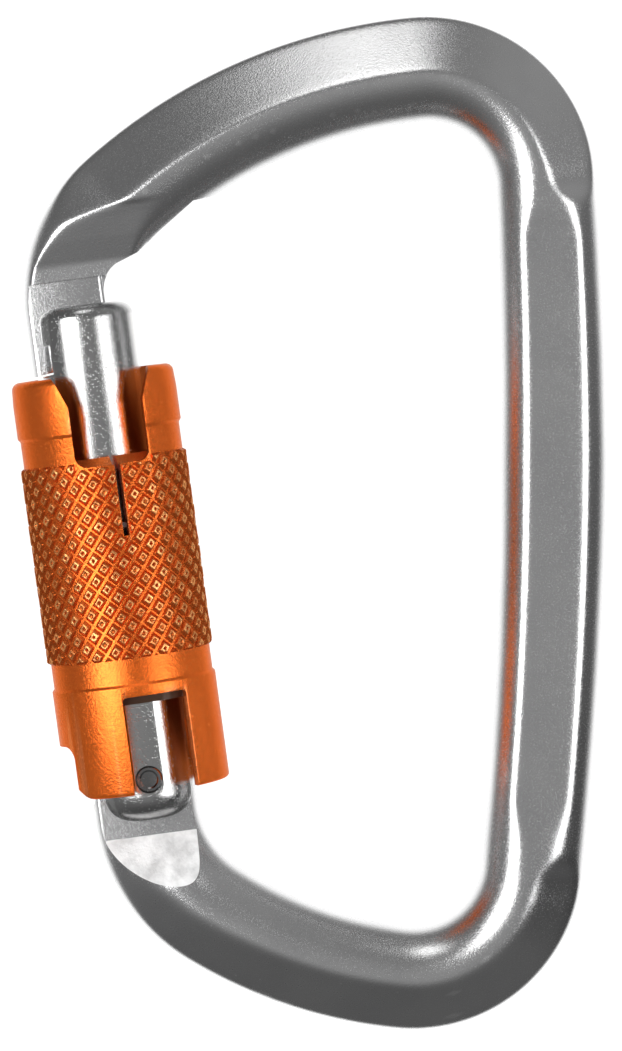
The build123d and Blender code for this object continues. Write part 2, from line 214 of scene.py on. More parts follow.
def prism(outline, low, high, axes="xzy"):
    """An outline extruded between two limits. axes gives where (u, v, depth) go."""
    where = {"x": 0, "y": 1, "z": 2}
    points = []
    for depth in (low, high):
        for u, v in outline:
            p = [0, 0, 0]
            for value, axis in zip((u, v, depth), axes):
                p[where[axis]] = value
            points.append(p)
    n = len(outline)
    faces = [tuple(range(n)), tuple(range(2 * n - 1, n - 1, -1))]
    faces += [(k, (k + 1) % n, (k + 1) % n + n, k + n) for k in range(n)]
    return make_object("cutter", points, faces)


def arc(cx, cy, r, start, end, steps):
    """Points on an arc, angles in degrees."""
    angles = np.radians(np.linspace(start, end, steps + 1))
    return [(cx + r * math.cos(a), cy + r * math.sin(a)) for a in angles]


def lathe(name, outline, segments):
    """A closed (r, z) outline turned about Z.  Points on the axis are shared."""
    points = []
    rings = []
    for r, z in outline:
        if r < 1e-6:
            rings.append([len(points)] * segments)
            points.append((0, 0, z))
        else:
            rings.append(list(range(len(points), len(points) + segments)))
            for k in range(segments):
                a = 2 * math.pi * k / segments
                points.append((r * math.cos(a), r * math.sin(a), z))
    faces = []
    count = len(rings)
    for i in range(count):
        one = rings[i]
        two = rings[(i + 1) % count]
        for k in range(segments):
            m = (k + 1) % segments
            face = list(dict.fromkeys([one[k], one[m], two[m], two[k]]))
            if len(face) > 2:
                faces.append(face)
    return make_object(name, points, faces)


def bake(obj):
    """Apply the object's modifiers."""
    graph = bpy.context.evaluated_depsgraph_get()
    graph.update()
    mesh = bpy.data.meshes.new_from_object(obj.evaluated_get(graph))
    old = obj.data
    obj.modifiers.clear()
    obj.data = mesh
    bpy.data.meshes.remove(old)


def cut(obj, *cutters, operation="DIFFERENCE"):
    """Boolean the cutters into obj and delete them."""
    for cutter in cutters:
        mod = obj.modifiers.new("cut", "BOOLEAN")
        mod.operation = operation
        mod.solver = "EXACT"
        mod.object = cutter
        bake(obj)
        mesh = cutter.data
        bpy.data.objects.remove(cutter)
        bpy.data.meshes.remove(mesh)


def turn(obj, degrees):
    """Turn a mesh about the local gate axis."""
    obj.data.transform(Matrix.Rotation(math.radians(degrees), 4, "Z"))
    return obj


def across_gate(obj):
    """Lay a mesh turned about Z across the gate, on the rivet's axis."""
    quarter = Matrix.Rotation(math.pi / 2, 4, "X")
    obj.data.transform(Matrix.Translation((RIVET_X * MM, 0, 0)) @ quarter)
    return obj


def soften(obj, width):
    """Small rounded edges, smooth shading, sharp where the shape really turns."""
    mod = obj.modifiers.new("edges", "BEVEL")
    mod.width = width * MM
    mod.segments = 2
    mod.limit_method = "ANGLE"
    mod.angle_limit = math.radians(32)
    mod.miter_outer = "MITER_ARC"
    bake(obj)
    smooth(obj, 38)


def smooth(obj, angle):
    """Smooth shading, broken where faces meet at more than the angle."""
    obj.data.shade_smooth()
    obj.data.set_sharp_from_angle(angle=math.radians(angle))


def finish_piece(obj, body, materials, nodes=()):
    """Put the mesh in the CAD frame, give it its materials and tie it to its body."""
    obj.data.transform(GATE_PLACE)
    for material in materials:
        obj.data.materials.append(material)
    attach(obj, body)
    if nodes:
        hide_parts(*nodes)


# ---- Materials ----

PIT_DEPTH = 0.000012                 # metres


def new_material(name):
    material = bpy.data.materials.new(name)
    material.use_nodes = True
    nodes = material.node_tree.nodes
    links = material.node_tree.links
    return material, nodes, links, nodes["Principled BSDF"]


def noise(nodes, links, scale, detail, roughness=0.6):
    """A noise texture in object space; scale is features per metre."""
    coords = nodes.new("ShaderNodeTexCoord")
    texture = nodes.new("ShaderNodeTexNoise")
    texture.inputs["Scale"].default_value = scale
    texture.inputs["Detail"].default_value = detail
    texture.inputs["Roughness"].default_value = roughness
    links.new(coords.outputs["Object"], texture.inputs["Vector"])
    return texture.outputs["Fac"]


def remap(nodes, links, value, low, high, to_low, to_high):
    """A value taken from one range to another, clamped."""
    node = nodes.new("ShaderNodeMapRange")
    limits = (("From Min", low), ("From Max", high), ("To Min", to_low), ("To Max", to_high))
    for key, number in limits:
        node.inputs[key].default_value = number
    links.new(value, node.inputs["Value"])
    return node.outputs["Result"]


def mix_colour(nodes, links, factor, first, second):
    """Two colours or colour sockets mixed: 0 gives the first, 1 the second."""
    node = nodes.new("ShaderNodeMix")
    node.data_type = "RGBA"
    links.new(factor, node.inputs["Factor"])
    for socket, colour in ((node.inputs["A"], first), (node.inputs["B"], second)):
        if isinstance(colour, bpy.types.NodeSocket):
            links.new(colour, socket)
        else:
            socket.default_value = (*colour, 1)
    return node.outputs["Result"]


def bump(nodes, links, height, distance, normal=None):
    """Surface bump; distance is in metres and negative makes hollows."""
    node = nodes.new("ShaderNodeBump")
    node.inputs["Distance"].default_value = distance
    node.inputs["Strength"].default_value = 1.0
    links.new(height, node.inputs["Height"])
    if normal is not None:
        links.new(normal, node.inputs["Normal"])
    return node.outputs["Normal"]


def specks(nodes, links, scale, size, share=0.1):
    """Small scattered dots, 1 on a dot; share of the cells has one."""
    coords = nodes.new("ShaderNodeTexCoord")
    cells = nodes.new("ShaderNodeTexVoronoi")
    cells.inputs["Scale"].default_value = scale
    links.new(coords.outputs["Object"], cells.inputs["Vector"])
    dot = remap(nodes, links, cells.outputs["Distance"], size * 0.6, size, 1, 0)
    pick = nodes.new("ShaderNodeSeparateColor")
    links.new(cells.outputs["Color"], pick.inputs["Color"])
    rare = remap(nodes, links, pick.outputs["Red"], 1 - share, 1.02 - share, 0, 1)
    both = nodes.new("ShaderNodeMath")
    both.operation = "MULTIPLY"
    links.new(dot, both.inputs[0])
    links.new(rare, both.inputs[1])
    return both.outputs["Value"]


def metal(name, colour, other, rough, rough_span, grain, grain_scale, metallic=1.0,
          dust=None, pits=None, patches=90):
    """Metal with mottled tone, varied roughness, fine grain and bright worn edges.

    dust adds pale dots and pits adds small hollows, each as (cells per metre, dot size).
    """
    material, nodes, links, shader = new_material(name)
    shader.inputs["Metallic"].default_value = metallic
    broad = noise(nodes, links, patches, 3)
    fine = noise(nodes, links, grain_scale, 3, 0.7)
    tone = mix_colour(nodes, links, remap(nodes, links, broad, 0.35, 0.65, 0, 1), colour, other)
    geometry = nodes.new("ShaderNodeNewGeometry")
    worn = remap(nodes, links, geometry.outputs["Pointiness"], 0.54, 0.62, 0, 0.5)
    bright = tuple(min(1, c * 1.25 + 0.08) for c in colour)
    tone = mix_colour(nodes, links, worn, tone, bright)
    if dust:
        dots = specks(nodes, links, *dust)
        tone = mix_colour(nodes, links, dots, tone, (0.95, 0.95, 0.95))
    links.new(tone, shader.inputs["Base Color"])
    streak = remap(nodes, links, fine, 0.3, 0.7, rough - rough_span, rough + rough_span)
    links.new(streak, shader.inputs["Roughness"])
    surface = bump(nodes, links, fine, grain)
    if pits:
        hollows = specks(nodes, links, *pits, share=0.5)
        surface = bump(nodes, links, hollows, -PIT_DEPTH, normal=surface)
    links.new(surface, shader.inputs["Normal"])
    return material


def tint_edges(material, colour):
    """Set the colour that reflections take at grazing angles."""
    shader = material.node_tree.nodes["Principled BSDF"]
    shader.inputs["Specular Tint"].default_value = (*colour, 1)
    return material


def knurled(name, base):
    """The orange metal with darker groove walls (painted shade) and pale tops (painted highlight) of
    lower roughness, from the cut depth.
    """
    material = base.copy()
    material.name = name
    nodes = material.node_tree.nodes
    links = material.node_tree.links
    shader = nodes["Principled BSDF"]
    rough = shader.inputs["Roughness"].links[0].from_socket
    tone = shader.inputs["Base Color"].links[0].from_socket
    depth = nodes.new("ShaderNodeAttribute")
    depth.attribute_name = "knurl"
    height = depth.outputs["Fac"]
    wall = remap(nodes, links, height, 0.08, 0.30, 0, 1)
    top = remap(nodes, links, height, 0.80, 0.97, 0, 1)
    # Groove walls darkened: painted shade.  Tops made pale: painted highlight.
    dark = mix_colour(nodes, links, wall, tone, (0.60, 0.118, 0.022))
    pale = mix_colour(nodes, links, top, dark, (1.0, 0.42, 0.15))
    links.new(pale, shader.inputs["Base Color"])
    rubbed = nodes.new("ShaderNodeMath")
    rubbed.operation = "MULTIPLY"
    links.new(rough, rubbed.inputs[0])
    links.new(remap(nodes, links, top, 0, 1, 1.2, 0.9), rubbed.inputs[1])
    links.new(rubbed.outputs["Value"], shader.inputs["Roughness"])
    return material


MATERIALS = {
    "alloy": metal("anodised_alloy", (0.70, 0.70, 0.70), (0.64, 0.64, 0.645), 0.24, 0.05,
                   0.000022, 4600, dust=(1100, 0.13)),
    "milled": metal("milled_alloy", (1.0, 1.0, 1.0), (0.66, 0.66, 0.66), 0.45, 0.12,
                    0.00008, 2300, metallic=0.25, patches=420),
    "gate": metal("bright_gate", (0.53, 0.53, 0.525), (0.48, 0.48, 0.48), 0.06, 0.03,
                  0.000016, 8000, pits=(4200, 0.40)),
    "rivet": metal("rivet_end", (0.30, 0.30, 0.30), (0.20, 0.20, 0.20), 0.22, 0.06,
                   0.00001, 3000),
    "steel": metal("inner_steel", (0.16, 0.16, 0.16), (0.12, 0.12, 0.12), 0.40, 0.06,
                   0.00001, 3000),
    "spring": metal("spring_wire", (0.12, 0.12, 0.125), (0.08, 0.08, 0.08), 0.45, 0.08,
                    0.00001, 4000, metallic=0.6),
    "orange": metal("orange_anodised", (0.95, 0.19, 0.032), (0.87, 0.165, 0.026), 0.22, 0.06,
                    0.00006, 3600, metallic=0.82),
}
tint_edges(MATERIALS["orange"], (0.50, 0.38, 0.28))
# Darker, rougher orange for the sleeve's cavity: painted shade inside the sleeve.
MATERIALS["inner_orange"] = metal("orange_inside_painted_shade", (0.72, 0.16, 0.028), (0.60, 0.13, 0.022),
                                  0.36, 0.07, 0.00003, 3000, metallic=0.9)
# Near-black lip material: painted shade at the top of the window.
MATERIALS["lip"] = metal("painted_shade_lip", (0.07, 0.035, 0.02), (0.05, 0.025, 0.015), 0.55, 0.08,
                         0.00003, 3000, metallic=0.6)
MATERIALS["knurl"] = knurled("orange_knurl", MATERIALS["orange"])


# ---- Bar ----

def centreline():
    """The seven arcs from the hinge end to the nose end: (start, heading, radius, turn)."""
    arcs = []
    point = SPINE_BOTTOM
    heading = SPINE_HEADING
    for radius, end in ARCS_UP:
        arcs.append((point, heading, radius, end - heading))
        point = arc_point(arcs[-1], 1)[:2]
        heading = end
    point = SPINE_BOTTOM
    heading = SPINE_HEADING
    for radius, end in ARCS_DOWN:
        a = math.radians(heading)
        b = math.radians(end)
        point = (point[0] - radius * (math.sin(a) - math.sin(b)),
                 point[1] + radius * (math.cos(a) - math.cos(b)))
        arcs.insert(0, (point, end, radius, heading - end))
        heading = end
    return arcs


def arc_point(one, fraction):
    """Point and heading in radians at a fraction of an arc."""
    point, heading, radius, swing = one
    a = math.radians(heading)
    b = math.radians(heading + swing * fraction)
    return (point[0] + radius * (math.sin(b) - math.sin(a)),
            point[1] - radius * (math.cos(b) - math.cos(a)), b)


ARCS = centreline()


def place_at(station):
    """Centreline point and heading in radians; straight beyond either end."""
    index = min(max(int(station), 0), 6)
    inside = min(max(station - index, 0), 1)
    x, z, heading = arc_point(ARCS[index], inside)
    beyond = (station - index - inside) * ARCS[index][2] * math.radians(ARCS[index][3])
    return x + beyond * math.cos(heading), z + beyond * math.sin(heading), heading


def distance_along(station):
    """Millimetres along the centreline from the hinge end."""
    lengths = [one[2] * math.radians(one[3]) for one in ARCS]
    index = min(max(int(station), 0), 6)
    return sum(lengths[:index]) + (station - index) * lengths[index]


def ease(table, station):
    """A (station, value) table read along the bar, smoothed over the blend length."""
    nodes = [distance_along(row[0]) for row in table]
    values = [row[1] for row in table]
    offsets = np.linspace(-1, 1, 15)
    weights = 1 + np.cos(np.pi * offsets)
    near = np.interp(distance_along(station) + BLEND * offsets, nodes, values)
    return float((near * weights).sum() / weights.sum())


def bar_section(station):
    """Section radius at each angle round the bar, 0 outward."""
    width = ease(HALF_WIDTH, station)
    sharpness = ease(SHARPNESS, station)
    angles = 2 * np.pi * np.arange(SECTION_POINTS) / SECTION_POINTS
    c = np.cos(angles)
    s = np.abs(np.sin(angles))
    reaches = [
        np.hypot(c / width, s / ease(HALF_DEPTH, station)),
        np.maximum(0, c * math.sin(FLAT_SLOPE) + s * math.cos(FLAT_SLOPE))
        / ease(FLAT_DEPTH, station),
        np.maximum(0, c * math.sin(FACET_SLOPE) + s * math.cos(FACET_SLOPE))
        / ease(FACET_REACH, station),
    ]
    total = sum(reach ** sharpness for reach in reaches)
    r = total ** (-1 / sharpness)
    return r * np.cos(angles), -r * np.sin(angles)


def bar_stations():
    """Where the sections stand: the bar's whole length, closer together towards the nose."""
    stations = list(HINGE_RUN_ON)
    for index, one in enumerate(ARCS):
        length = one[2] * math.radians(one[3])
        steps = int(length / (STATION_GAP if index < 5 else FINE_GAP))
        stations += [index + k / steps for k in range(steps)]
    return stations + NOSE_RUN_ON


def round_edge(obj, edge, outward, radius, low, high):
    """Round a tab's two long edges on one side, front and back."""
    inner = edge - outward * radius
    for side in (-1, 1):
        quarter = [(inner + outward * x, side * (TAB_HALF - radius + y))
                   for x, y in arc(0, 0, radius, 0, 90, 8)]
        outline = quarter + [(inner, side * 9), (edge + outward * 9, side * 9),
                             (edge + outward * 9, side * (TAB_HALF - radius))]
        cut(obj, prism(outline, low, high, axes="xyz"))


def lower_cheeks(bar):
    """Thin the nose from both sides down to its step, with a rounded edge."""
    heights = [NOSE_STEP_T + rise for rise, depth in CHEEK]
    depths = [depth for rise, depth in CHEEK]
    for vertex in bar.data.vertices:
        x, y, t = vertex.co / MM
        if x < 16 and t > 40 and abs(y) > 1:
            limit = float(np.interp(t, heights, depths))
            held = (abs(y) ** -CHEEK_EDGE + limit ** -CHEEK_EDGE) ** (-1 / CHEEK_EDGE)
            vertex.co.y = math.copysign(held, y) * MM


def build_bar():
    """The bar swept through its sections, then cut to the nose and the hinge tab."""
    points = []
    stations = bar_stations()
    for station in stations:
        x, z, heading = place_at(station)
        u, y = bar_section(station)
        ring = [x + u * math.sin(heading), y, z - u * math.cos(heading)]
        points.append(np.column_stack(ring))
    n = SECTION_POINTS
    faces = []
    for i in range(len(stations) - 1):
        for k in range(n):
            m = (k + 1) % n
            faces.append((i * n + k, i * n + m, (i + 1) * n + m, (i + 1) * n + k))
    faces.append(tuple(range(n)))
    last = (len(stations) - 1) * n
    faces.append(tuple(range(last + n - 1, last - 1, -1)))
    bar = make_object("carabiner_bar", np.concatenate(points), faces)
    bar.data.transform(GATE_PLACE.inverted())
    lower_cheeks(bar)

    # Nose
    trim = [(NOSE_INNER_X, 40), (NOSE_INNER_X, NOSE_THROAT_T)]
    trim += arc(NOSE_INNER_X + NOSE_THROAT_R, NOSE_THROAT_T, NOSE_THROAT_R, 180, 118, 10)[1:]
    trim += NOSE_THROAT
    cut(bar, prism(trim, *THROUGH))
    for side in (-1, 1):
        cheek = [(TAB_HALF, 30), (TAB_HALF, NOSE_STEP_T - 0.1), (TAB_HALF + 0.4, NOSE_STEP_T),
                 (15, NOSE_STEP_T), (15, 30)]
        cut(bar, prism([(side * y, z) for y, z in cheek], -20, 12, axes="yzx"))
    outside = [(-20, 30), (NOSE_OUTER_X, 30), (NOSE_OUTER_X, NOSE_OUTER_TO), (-20, NOSE_OUTER_TO)]
    cut(bar, prism(outside, *THROUGH))
    round_edge(bar, NOSE_OUTER_X, -1, 0.95, 30, NOSE_STEP_T - 0.1)
    round_edge(bar, NOSE_INNER_X, 1, 0.6, 30, NOSE_STEP_T - 0.1)
    tip = arc(RIVET_X, 0, NOSE_TIP_R, 60, 120, 60)
    cut(bar, prism(tip + [(-20, 30), (20, 30)], *THROUGH))

    # Hinge tab
    slope = (HINGE_RAMP_HALF - TAB_HALF) / (HINGE_STEP_T - HINGE_RAMP_T)
    far = 13                         # the run-out's plane goes on this far below the step
    for side in (-1, 1):
        cheek = [(side * TAB_HALF, 20), (side * TAB_HALF, HINGE_STEP_T),
                 (side * (TAB_HALF + slope * far), HINGE_STEP_T - far),
                 (side * 20, HINGE_STEP_T - far), (side * 20, 20)]
        cut(bar, prism(cheek, -14, 13, axes="yzx"))
    cut(bar, prism(ABOVE_TAB, *THROUGH))
    round_edge(bar, HINGE_OUTER_X, -1, 0.85, -7.6, -1.5)
    round_edge(bar, HINGE_INNER_X, 1, 0.7, -7.6, -1.5)
    return bar


def key_head():
    """The wide head at the nose's tip that locks into the barrel, turned flush with it."""
    left = math.degrees(math.acos((NOSE_HEAD_OUTER_X - RIVET_X) / NOSE_TIP_R))
    right = math.degrees(math.acos((NOSE_INNER_X - RIVET_X) / NOSE_TIP_R))
    outline = arc(RIVET_X, 0, NOSE_TIP_R, right, left, 12)
    outline += arc(RIVET_X, 0, NOSE_HEAD_R, left, right, 12)
    head = prism(outline, -NOSE_HEAD_HALF, NOSE_HEAD_HALF)
    flush_r = BARREL_R - 0.03
    round_bar = [(0, 40), (flush_r, 40), (flush_r, BARREL_TOP), (0, BARREL_TOP)]
    cut(head, lathe("round_bar", round_bar, 160), operation="INTERSECT")
    return head


def colour_inner(obj):
    """Second material, a darker orange of painted shade, in the sleeve's cavity; third, near-black
    painted shade, on the lip above the window.
    """
    for face in obj.data.polygons:
        centre = face.center / MM
        r = math.hypot(centre.x, centre.y)
        # Cavity faces take the darker orange: painted shade.
        if r < CAVITY_R + 0.2 and SLEEVE_BOTTOM + 0.1 < centre.z < SLEEVE_TOP - 0.1:
            face.material_index = 1
        # Lip faces take the near-black painted shade.
        if r < LIP_ROOT_R + 0.05 and LIP_FROM - 0.1 < centre.z < LIP_TO + 0.1:
            face.material_index = 2


def colour_milled(obj):
    """Second material on the sloping run-outs below the hinge tab."""
    for face in obj.data.polygons:
        centre = face.center / MM
        run_out = HINGE_RAMP_T - 2 < centre.z < HINGE_STEP_T + 0.2
        tilted = 0.25 < face.normal.z < 0.6 and abs(face.normal.x) < 0.03
        flat_enough = abs(face.normal.y) > 0.8
        if run_out and tilted and flat_enough:
            face.material_index = 1


def sharpen_step(obj):
    """Keep the fold between the hinge tab's cheek and its run-out crisp."""
    for edge in obj.data.edges:
        heights = [obj.data.vertices[k].co.z / MM for k in edge.vertices]
        if all(abs(height - HINGE_STEP_T) < 0.02 for height in heights):
            edge.use_edge_sharp = True


bar = build_bar()
colour_milled(bar)
smooth(bar, 28)
sharpen_step(bar)
finish_piece(bar, "frame", [MATERIALS["alloy"], MATERIALS["milled"]], ["body"])
head = key_head()
soften(head, 0.12)
head.name = "nose_key_head"
finish_piece(head, "frame", [MATERIALS["alloy"]])


# ---- Gate barrel ----

def build_barrel():
    """The round gate with its fork, its key slot and the rivet's hole."""
    outline = [(0, BARREL_BOTTOM)]
    outline += arc(BARREL_R - BARREL_FOOT_R, BARREL_BOTTOM + BARREL_FOOT_R, BARREL_FOOT_R, -90, 0, 14)
    outline += arc(BARREL_R - BARREL_RIM_R, BARREL_TOP - BARREL_RIM_R, BARREL_RIM_R, 0, 90, 12)
    outline += [(0, BARREL_TOP)]
    barrel = lathe("gate_tube", outline, 160)
    fork = [(-10, -12), (10, -12), (10, FORK_T), (-10, FORK_T)]
    cut(barrel, prism(fork, -SLOT_HALF, SLOT_HALF))
    head_room = (NOSE_HEAD_HALF + SLOT_GAP, NOSE_HEAD_R + SLOT_GAP)
    for half, r_out in ((SLOT_HALF, SLOT_FAR_R), head_room):
        r_in = NOSE_TIP_R - SLOT_GAP
        wall = math.degrees(math.acos((SLOT_WALL_X - RIVET_X) / r_in))
        wall_out = math.degrees(math.acos((SLOT_WALL_X - RIVET_X) / r_out))
        slot = arc(RIVET_X, 0, r_in, wall, SLOT_OPEN, 10)
        slot += arc(RIVET_X, 0, r_out, SLOT_OPEN, wall_out, 10)
        cut(barrel, prism(slot, -half, half))
    hole_r = RIVET_R + RIVET_GAP
    cut(barrel, across_gate(lathe("cutter", [(0, -9), (hole_r, -9), (hole_r, 9), (0, 9)], 48)))
    soften(barrel, 0.14)
    return barrel


finish_piece(build_barrel(), "gate", [MATERIALS["gate"]], ["gate_barrel"])


def build_rivet():
    """Turned rivet with a slightly dished end front and back."""
    reach = math.sqrt(BARREL_R ** 2 - RIVET_X ** 2) - 0.04
    end = [(RIVET_R, reach - 0.18), (RIVET_R - 0.16, reach), (RIVET_R - 0.42, reach),
           (RIVET_R - 0.6, reach - 0.14), (0, reach - 0.2)]
    outline = end + [(0, -end[-1][1])] + [(r, -z) for r, z in reversed(end[:-1])]
    rivet = lathe("gate_rivet", outline, 48)
    across_gate(rivet)
    smooth(rivet, 30)
    return rivet


finish_piece(build_rivet(), "gate", [MATERIALS["rivet"]], ["hinge_rivet"])


# ---- Sleeve ----

def radial_cutter(outline, angle):
    """An outline cut through the front wall, then turned round the sleeve."""
    return turn(prism(outline, -14, -0.01), angle)


def rounded(outline, which, radius):
    """Round the listed corners of an outline."""
    points = []
    count = len(outline)
    for k, corner in enumerate(outline):
        if k not in which:
            points.append(corner)
            continue
        here = np.array(corner, float)
        before = np.array(outline[k - 1], float) - here
        after = np.array(outline[(k + 1) % count], float) - here
        before = before / np.linalg.norm(before)
        after = after / np.linalg.norm(after)
        half = math.acos(float(before @ after)) / 2
        reach = radius / math.tan(half)
        centre = here + (before + after) / np.linalg.norm(before + after) * radius / math.sin(half)
        start = here + before * reach - centre
        stop = here + after * reach - centre
        a = math.atan2(start[1], start[0])
        sweep = (math.atan2(stop[1], stop[0]) - a + math.pi) % (2 * math.pi) - math.pi
        for i in range(7):
            b = a + sweep * i / 6
            points.append((centre[0] + radius * math.cos(b), centre[1] + radius * math.sin(b)))
    return points


def notch_outline():
    """The notch in the upper rim, flared at its mouth."""
    top = SLEEVE_TOP + 1
    over = NOTCH_MOUTH + (NOTCH_MOUTH - NOTCH_HALF) / (SLEEVE_TOP - NOTCH_FLARE)
    outline = [(-NOTCH_HALF, NOTCH_FLOOR), (NOTCH_HALF, NOTCH_FLOOR), (NOTCH_HALF, NOTCH_FLARE),
               (over, top), (-over, top), (-NOTCH_HALF, NOTCH_FLARE)]
    return rounded(outline, (0, 1, 2, 5), 1.3)


def window_outline():
    """The window in the lower collar, open at the rim."""
    low = SLEEVE_BOTTOM - 1
    outline = [(-WINDOW_HALF, low), (WINDOW_HALF, low), (WINDOW_HALF, WINDOW_TOP),
               (-WINDOW_HALF, WINDOW_TOP)]
    return rounded(outline, (2, 3), 0.5)


def step_outline():
    """The cut in the outer side of the lower rim."""
    low = SLEEVE_BOTTOM
    w = STEP_HALF
    outline = [(-w - 1.4, low - 1), (w + 1.4, low - 1), (w + 1.4, low), (w, low + 1.2), (w, STEP_T),
               (-w, STEP_T), (-w, low + 1.2), (-w - 1.4, low)]
    return rounded(outline, (4, 5), 1.5)


def build_sleeve():
    """The turned sleeve with its notches, windows, side cut, slit and inner lip; the lip is a dark
    ring of painted shade.
    """
    edge_r = COLLAR_R - COLLAR_EDGE
    outline = [(CAVITY_R, SLEEVE_BOTTOM), (edge_r, SLEEVE_BOTTOM)]
    outline += arc(edge_r, SLEEVE_BOTTOM + COLLAR_EDGE, COLLAR_EDGE, -90, 0, 4)[1:]
    outline += [
        (COLLAR_R, LOWER_COLLAR_TO), (NECK_R, NECK_FROM), (NECK_R, NECK_TO),
        (COLLAR_R, UPPER_COLLAR_FROM), (COLLAR_R, SLEEVE_TOP - 2.6)]
    outline += arc(COLLAR_R - 1.0, SLEEVE_TOP - RIM_EDGE, RIM_EDGE, 8, 90, 6)
    outline += [
        (CAVITY_R, SLEEVE_TOP), (CAVITY_R, BUSH_FROM), (ROOM_R, BUSH_FROM), (ROOM_R, WEB_TO),
        (RIDE_R, WEB_TO), (RIDE_R, WEB_FROM), (CAVITY_R, WEB_FROM)]
    sleeve = lathe("sleeve_shell", outline, 192)
    for half_turn in (0, 180):
        cut(sleeve, radial_cutter(notch_outline(), NOTCH_ANGLE + half_turn))
        cut(sleeve, radial_cutter(window_outline(), WINDOW_ANGLE + half_turn))
    cut(sleeve, radial_cutter(step_outline(), -90))
    slit = [(-SLIT_HALF, SLIT_FROM), (SLIT_HALF, SLIT_FROM), (SLIT_HALF, NOTCH_FLOOR + 1),
            (-SLIT_HALF, NOTCH_FLOOR + 1)]
    cut(sleeve, radial_cutter(slit, SLIT_ANGLE))
    # Inner lip above the window: its near-black material paints the shade there.
    lip = [(LIP_R, LIP_FROM), (LIP_ROOT_R, LIP_FROM), (LIP_ROOT_R, LIP_TO), (LIP_R, LIP_TO)]
    cut(sleeve, lathe("lip", lip, 96), operation="UNION")
    soften(sleeve, 0.26)
    return sleeve


def knurl_height(x, z):
    """Height of the diamond knurl at a place on the unrolled band: 1 on the tops."""
    u = x * KNURL_STARTS[0] / KNURL_CELLS + z / KNURL_PITCH
    v = x * KNURL_STARTS[1] / KNURL_CELLS - z / KNURL_PITCH
    cross = np.maximum(np.abs(u % 1 - 0.5), np.abs(v % 1 - 0.5)) * 2
    along_u = np.clip((0.90 - np.abs(u % 1 - 0.5) * 2) / 0.42, -0.1, 1)
    along_v = np.clip((0.90 - np.abs(v % 1 - 0.5) * 2) / 0.42, -0.1, 1)
    rise = np.minimum(0.25 + 0.75 * along_u, along_v)
    uneven = np.random.RandomState(7).rand(64, 64)
    column = np.floor(u).astype(int) % KNURL_STARTS[0]
    row = np.floor(v).astype(int) % KNURL_STARTS[1]
    cell = uneven[column, row]
    dimple = np.clip((0.30 - 0.1 * cell - cross) / 0.14, 0, 1) * (0.12 + 0.4 * cell)
    return rise * (0.88 + 0.12 * cell) - dimple


def build_knurl():
    """The knurled band as a skin over the sleeve, open at the slit and the notches."""
    around = KNURL_CELLS * KNURL_STEPS
    along = int((KNURL_TO - KNURL_FROM) / KNURL_PITCH * KNURL_STEPS)
    angle = np.arange(around) * 2 * np.pi / around
    z = np.linspace(KNURL_FROM, KNURL_TO, along + 1)
    grid_a, grid_z = np.meshgrid(angle, z)
    height = knurl_height(grid_a / (2 * np.pi) * KNURL_CELLS, grid_z - KNURL_FROM)
    ends = np.minimum(grid_z - KNURL_FROM, KNURL_TO - grid_z)
    height = np.where(ends < 0.35, np.minimum(height, ends / 0.35), height)
    r = KNURL_R - KNURL_DEPTH * (1 - height)
    r[0] = NECK_R - 0.1
    r[-1] = NECK_R - 0.1

    hidden = np.zeros(r.shape, bool)
    for centre, half, low in ((SLIT_ANGLE, SLIT_HALF + 0.1, SLIT_FROM - 0.1),
                              (NOTCH_ANGLE, NOTCH_HALF + 0.1, NOTCH_FLOOR - 0.1),
                              (NOTCH_ANGLE + 180, NOTCH_HALF + 0.1, NOTCH_FLOOR - 0.1)):
        off = grid_a - math.radians(centre - 90)
        off = (off + np.pi) % (2 * np.pi) - np.pi
        near = (np.abs(NECK_R * np.sin(off)) < half) & (np.cos(off) > 0)
        hidden |= near & (grid_z > low)
    r = np.where(hidden, NECK_R - 0.15, r)
    points = np.column_stack([(r * np.cos(grid_a)).ravel(), (r * np.sin(grid_a)).ravel(),
                              grid_z.ravel()])
    faces = []
    for i in range(along):
        for k in range(around):
            m = (k + 1) % around
            if hidden[i, k] and hidden[i, m] and hidden[i + 1, k] and hidden[i + 1, m]:
                continue
            low = i * around
            high = low + around
            faces.append((low + k, low + m, high + m, high + k))
    band = make_object("sleeve_knurl", points, faces)
    depth = band.data.attributes.new("knurl", "FLOAT", "POINT")
    depth.data.foreach_set("value", height.astype(np.float32).ravel())
    smooth(band, 24)
    return band


sleeve = build_sleeve()
colour_inner(sleeve)
# The cavity and lip materials paint the shade inside the sleeve.
finish_piece(sleeve, "sleeve",
             [MATERIALS["orange"], MATERIALS["inner_orange"], MATERIALS["lip"]], ["lock_sleeve"])
finish_piece(build_knurl(), "sleeve", [MATERIALS["knurl"]])

# ---- Carried CAD nodes ----

for node, key in (("gate_plunger", "steel"), ("gate_spring", "spring"), ("guide_pin", "steel"),
                  ("retaining_ring", "spring"), ("top_bush", "orange"), ("sleeve_spring", "spring")):
    carried = frame["nodes"][node]
    for index in range(max(1, len(carried.material_slots))):
        if index >= len(carried.data.materials):
            carried.data.materials.append(MATERIALS[key])
        carried.material_slots[index].link = "OBJECT"
        carried.material_slots[index].material = MATERIALS[key]

# ---- Studio ----

FLOOR_DROP = 18                      # the floor lies this far below the ring
FLOOR_FRONT = -900
FLOOR_BACK = 700
FLOOR_HALF = 1600
COVE_R = 400                         # curve from the floor up into the backdrop
BACKDROP_TOP = 1600

CAMERA_LENS = 167.3
CAMERA_DISTANCE = 0.55               # metres
CAMERA_RISE = 2.5                    # degrees above level


